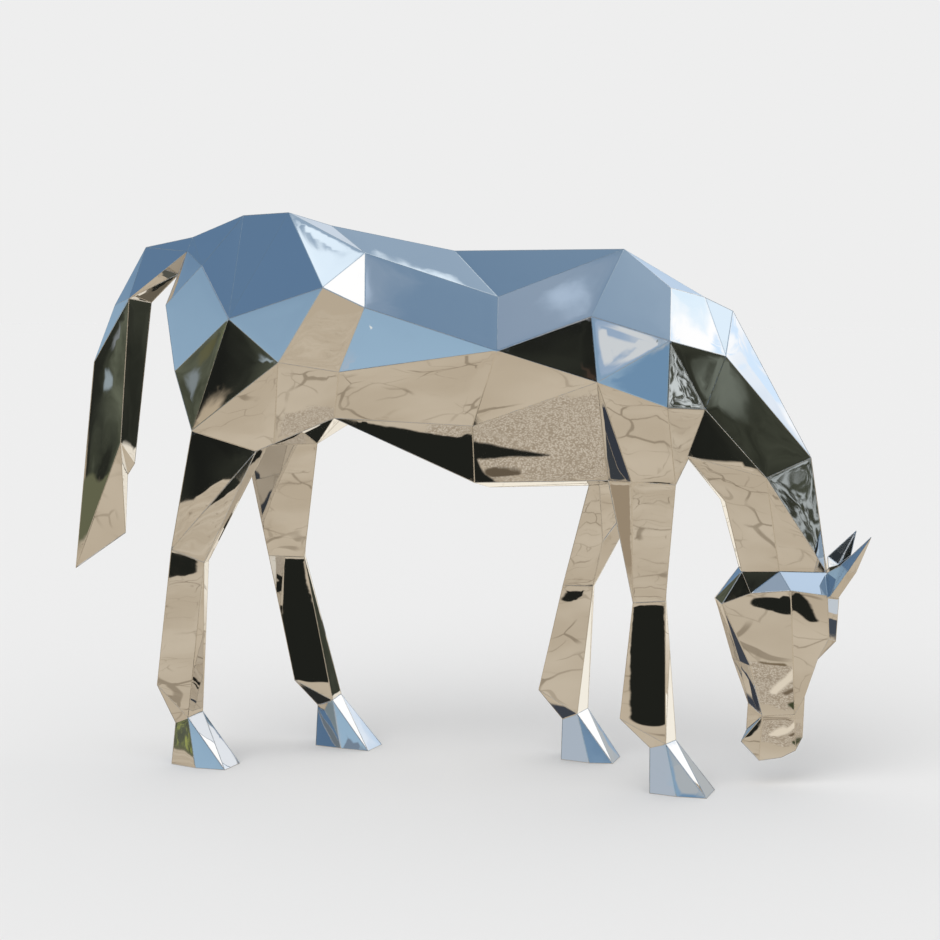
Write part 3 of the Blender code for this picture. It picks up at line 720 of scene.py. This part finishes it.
def add_world():
    """A plain pale backdrop, and the open air for mirror rays alone."""
    world = bpy.data.worlds.new("open_air")
    bpy.context.scene.world = world
    world.use_nodes = True
    tree = world.node_tree
    tree.nodes.clear()
    n = Nodes(tree)
    ray = n.put("ShaderNodeTexCoord")
    glossy = tree.nodes.new("ShaderNodeLightPath").outputs["Is Glossy Ray"]
    plain = n.put("ShaderNodeBackground", {"Color": (1.0, 1.0, 1.0, 1.0), "Strength": BACKDROP_PALE})
    air = n.put("ShaderNodeBackground", {"Color": open_air(n, ray)})
    shown_air = n.put("ShaderNodeMixShader", {0: glossy, 1: plain, 2: air})
    n.put("ShaderNodeOutputWorld", {"Surface": shown_air})


def pale_floor():
    """Plain and pale to the eye. Mirror rays see the paving as a glowing picture with painted sunlight and
    painted shadows on it, and past its end the open air.
    """
    material = bpy.data.materials.new("pale_floor")
    material.use_nodes = True
    tree = material.node_tree
    tree.nodes.clear()
    n = Nodes(tree)
    where = n.put("ShaderNodeTexCoord", output="Object")
    glossy = tree.nodes.new("ShaderNodeLightPath").outputs["Is Glossy Ray"]
    paving = paving_colour(n, where)
    group = stretch_group()
    uneven = crooked(n, where, 9.0, 3.0, STRETCH_CROOKED)
    # Each stretch paints its colour over the paving: most are painted shadows and shade, one is painted
    # sunlit glare
    for start, end, start_width, end_width, colour in STRETCHES:
        inputs = {
            "Place": uneven,
            "Start": (*start, 0.0),
            "Run": (end[0] - start[0], end[1] - start[1], 0.0),
            "Start Width": start_width,
            "End Width": end_width,
            "Soft": STRETCH_SOFT,
        }
        paving = n.mix(n.put("ShaderNodeGroup", inputs, node_tree=group), paving, colour)
    azimuth, _ = azimuth_of(n, where)
    reach = n.vector("LENGTH", where, output=1)
    verge = n.maths("MULTIPLY", *(n.step(azimuth, *ends) for ends in VERGE_SIDE))
    paving = n.mix(n.maths("MULTIPLY", verge, n.step(reach, *VERGE_REACH)), paving, GRASS)
    far = n.maths("SUBTRACT", reach, n.curve(azimuth, PAVING_ENDS))
    # What mirror rays see here glows as emission: the sunlight and shadows on the paving are painted in, not
    # lit
    mirrored = n.put("ShaderNodeMixShader", {
        0: n.step(far, -0.1, 0.3),
        1: n.put("ShaderNodeEmission", {"Color": paving}),
        2: n.put("ShaderNodeBsdfTransparent"),
    })
    pale = n.put("ShaderNodeBsdfDiffuse", {"Color": (FLOOR_PALE, FLOOR_PALE, FLOOR_PALE, 1.0)})
    surface = n.put("ShaderNodeMixShader", {0: glossy, 1: pale, 2: mirrored})
    n.put("ShaderNodeOutputMaterial", {"Surface": surface})
    return material


def add_floor():
    data = bpy.data.meshes.new("floor")
    h = FLOOR_HALF
    data.from_pydata([(-h, -h, 0.0), (h, -h, 0.0), (h, h, 0.0), (-h, h, 0.0)], [], [(0, 1, 2, 3)])
    data.materials.append(pale_floor())
    add_object("floor", data)


def polish_group():
    """What polishing leaves on the steel: soft smudges and a fine grain, as masks."""
    tree = bpy.data.node_groups.new("polish_marks", "ShaderNodeTree")
    tree.interface.new_socket("Place", in_out="INPUT", socket_type="NodeSocketVector")
    tree.interface.new_socket("Smudge", in_out="OUTPUT", socket_type="NodeSocketFloat")
    tree.interface.new_socket("Grain", in_out="OUTPUT", socket_type="NodeSocketFloat")
    n = Nodes(tree)
    place = tree.nodes.new("NodeGroupInput").outputs["Place"]
    broad = n.step(n.noise(place, SMUDGE_SCALE, 5.0, 0.62, 0.6), 0.50, 0.74)
    streaks = n.vector("MULTIPLY", place, (1.0, 1.0, 0.12))
    n.put("NodeGroupOutput", {0: broad, 1: n.noise(streaks, GRAIN_SCALE, 2.0, 0.6)})
    return tree


def steel(name, group, ground):
    """Polished steel. Where it is ground, as on the welds, it is brushed and slightly straw-coloured."""
    material = bpy.data.materials.new(name)
    material.use_nodes = True
    tree = material.node_tree
    shader = tree.nodes["Principled BSDF"]
    n = Nodes(tree)
    place = n.put("ShaderNodeTexCoord", output="Object")
    marks = n.put("ShaderNodeGroup", {"Place": place}, node_tree=group).node.outputs
    if ground:
        share = 1.0
    else:
        near = n.put("ShaderNodeAttribute", output="Fac", attribute_name="weld_distance")
        share = n.step(near, BRUSHED_REACH, 0.0)
    tone = n.put("ShaderNodeAttribute", output="Fac", attribute_name="plate_tone")
    colour = n.mix(n.maths("MULTIPLY_ADD", tone, 0.5, 0.5), STEEL_COOL, STEEL_WARM)
    colour = n.mix(n.maths("MULTIPLY", marks["Smudge"], 0.5), colour, STEEL_DULL)
    colour = n.mix(n.maths("MULTIPLY", share, 0.6), colour, STEEL_STRAW)
    rough = n.maths("MULTIPLY_ADD", marks["Smudge"], SMUDGE_ROUGHNESS, POLISH_ROUGHNESS)
    brushed = n.maths("MULTIPLY", share, n.maths("MULTIPLY_ADD", marks["Grain"], 0.8, 0.6))
    rough = n.maths("MULTIPLY_ADD", brushed, BRUSHED_ROUGHNESS, rough)
    tree.links.new(colour, shader.inputs["Base Color"])
    tree.links.new(rough, shader.inputs["Roughness"])
    shader.inputs["Metallic"].default_value = 1.0
    return material


def seam_lines(node):
    """The folds as bare lines, sunk so that a bead along them stays within the solid's outline."""
    edges, corners = fold_shifts(flat_plates(node))
    low = [side + SEAM_CLEAR for side in cad_box[0]]
    high = [side - SEAM_CLEAR for side in cad_box[1]]
    points = []
    numbers = {}
    for name, (shift, middle) in corners.items():
        spot = key_point(name) + shift - middle * SEAM_RADIUS * SEAM_SUNK
        numbers[name] = len(points)
        points.append([min(max(c, a), b) for c, a, b in zip(spot, low, high)])
    data = bpy.data.meshes.new("weld_seams")
    data.from_pydata(points, [(numbers[a], numbers[b]) for a, b in edges], [])
    return add_object("weld_seams", data)


def bead_tree(material):
    """Lays a bead along lines: it thickens and thins as it goes, as a hand weld does once it is ground."""
    tree = bpy.data.node_groups.new("weld_bead", "GeometryNodeTree")
    tree.interface.new_socket("Geometry", in_out="INPUT", socket_type="NodeSocketGeometry")
    for name in ("Radius", "Step", "Unevenness", "Bead Length"):
        tree.interface.new_socket(name, in_out="INPUT", socket_type="NodeSocketFloat")
    tree.interface.new_socket("Geometry", in_out="OUTPUT", socket_type="NodeSocketGeometry")
    n = Nodes(tree)
    given = tree.nodes.new("NodeGroupInput").outputs
    path = n.put("GeometryNodeMeshToCurve", {"Mesh": given["Geometry"]})
    path = n.put("GeometryNodeResampleCurve", {"Curve": path, "Length": given["Step"]}, mode="LENGTH")
    scale = n.maths("DIVIDE", 1.0, given["Bead Length"])
    lumps = n.put("ShaderNodeTexNoise", {"Scale": scale, "Detail": 1.0})
    spread = n.maths("MULTIPLY", n.maths("SUBTRACT", lumps, 0.5), given["Unevenness"])
    radius = n.maths("MULTIPLY", n.maths("ADD", spread, 1.0), given["Radius"])
    path = n.put("GeometryNodeSetCurveRadius", {"Curve": path, "Radius": radius})
    ring = n.put("GeometryNodeCurvePrimitiveCircle", {"Resolution": BEAD_SIDES, "Radius": 1.0})
    bead = n.put("GeometryNodeCurveToMesh", {"Curve": path, "Profile Curve": ring, "Scale": radius})
    bead = n.put("GeometryNodeSetShadeSmooth", {"Geometry": bead})
    bead = n.put("GeometryNodeRealizeInstances", {"Geometry": bead})
    bead = n.put("GeometryNodeSetMaterial", {"Geometry": bead, "Material": material})
    n.put("NodeGroupOutput", {0: bead})
    return tree


def weld_seams(node, material):
    """The ground weld beads along every fold, as a plain mesh."""
    lines = seam_lines(node)
    tree = bead_tree(material)
    modifier = lines.modifiers.new("bead", "NODES")
    modifier.node_group = tree
    values = {
        "Radius": SEAM_RADIUS,
        "Step": SEAM_STEP,
        "Unevenness": BEAD_UNEVENNESS,
        "Bead Length": BEAD_LENGTH,
    }
    for item in tree.interface.items_tree:
        if item.name in values:
            modifier[item.identifier] = values[item.name]
    bpy.context.view_layer.update()
    made = bpy.data.meshes.new_from_object(lines.evaluated_get(bpy.context.evaluated_depsgraph_get()))
    lines.modifiers.clear()
    lines.data = made
    return lines


def add_camera():
    data = bpy.data.cameras.new("camera")
    data.sensor_width = SENSOR_MM
    data.lens = LENS_MM
    camera = add_object("camera", data)
    camera.location = CAMERA_PLACE
    camera.rotation_euler = (math.radians(90.0 - CAMERA_DIP), 0.0, math.radians(CAMERA_TURN))
    bpy.context.scene.camera = camera


def add_light():
    """One broad, soft light that the mirrors don't show."""
    data = bpy.data.lights.new("soft_light", "SUN")
    data.energy = SUN_SHARE * math.pi
    data.angle = math.radians(SUN_ANGLE)
    light = add_object("soft_light", data)
    light.rotation_euler = [math.radians(a) for a in SUN_TURN]
    light.visible_glossy = False


bpy.context.scene.view_settings.view_transform = "Standard"
add_camera()
add_world()
add_floor()
add_light()

horse = horse_skin(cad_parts["horse"])
polish = polish_group()
horse.data.materials.append(steel("mirror_steel", polish, ground=False))
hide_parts("horse")
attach(horse, "root")
seams = weld_seams(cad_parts["horse"], steel("ground_weld", polish, ground=True))
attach(seams, "root")
print("weld_seams", len(seams.data.vertices), "vertices", len(seams.data.polygons), "faces")
print("horse_plates", len(horse.data.vertices), "vertices", len(horse.data.polygons), "triangles")
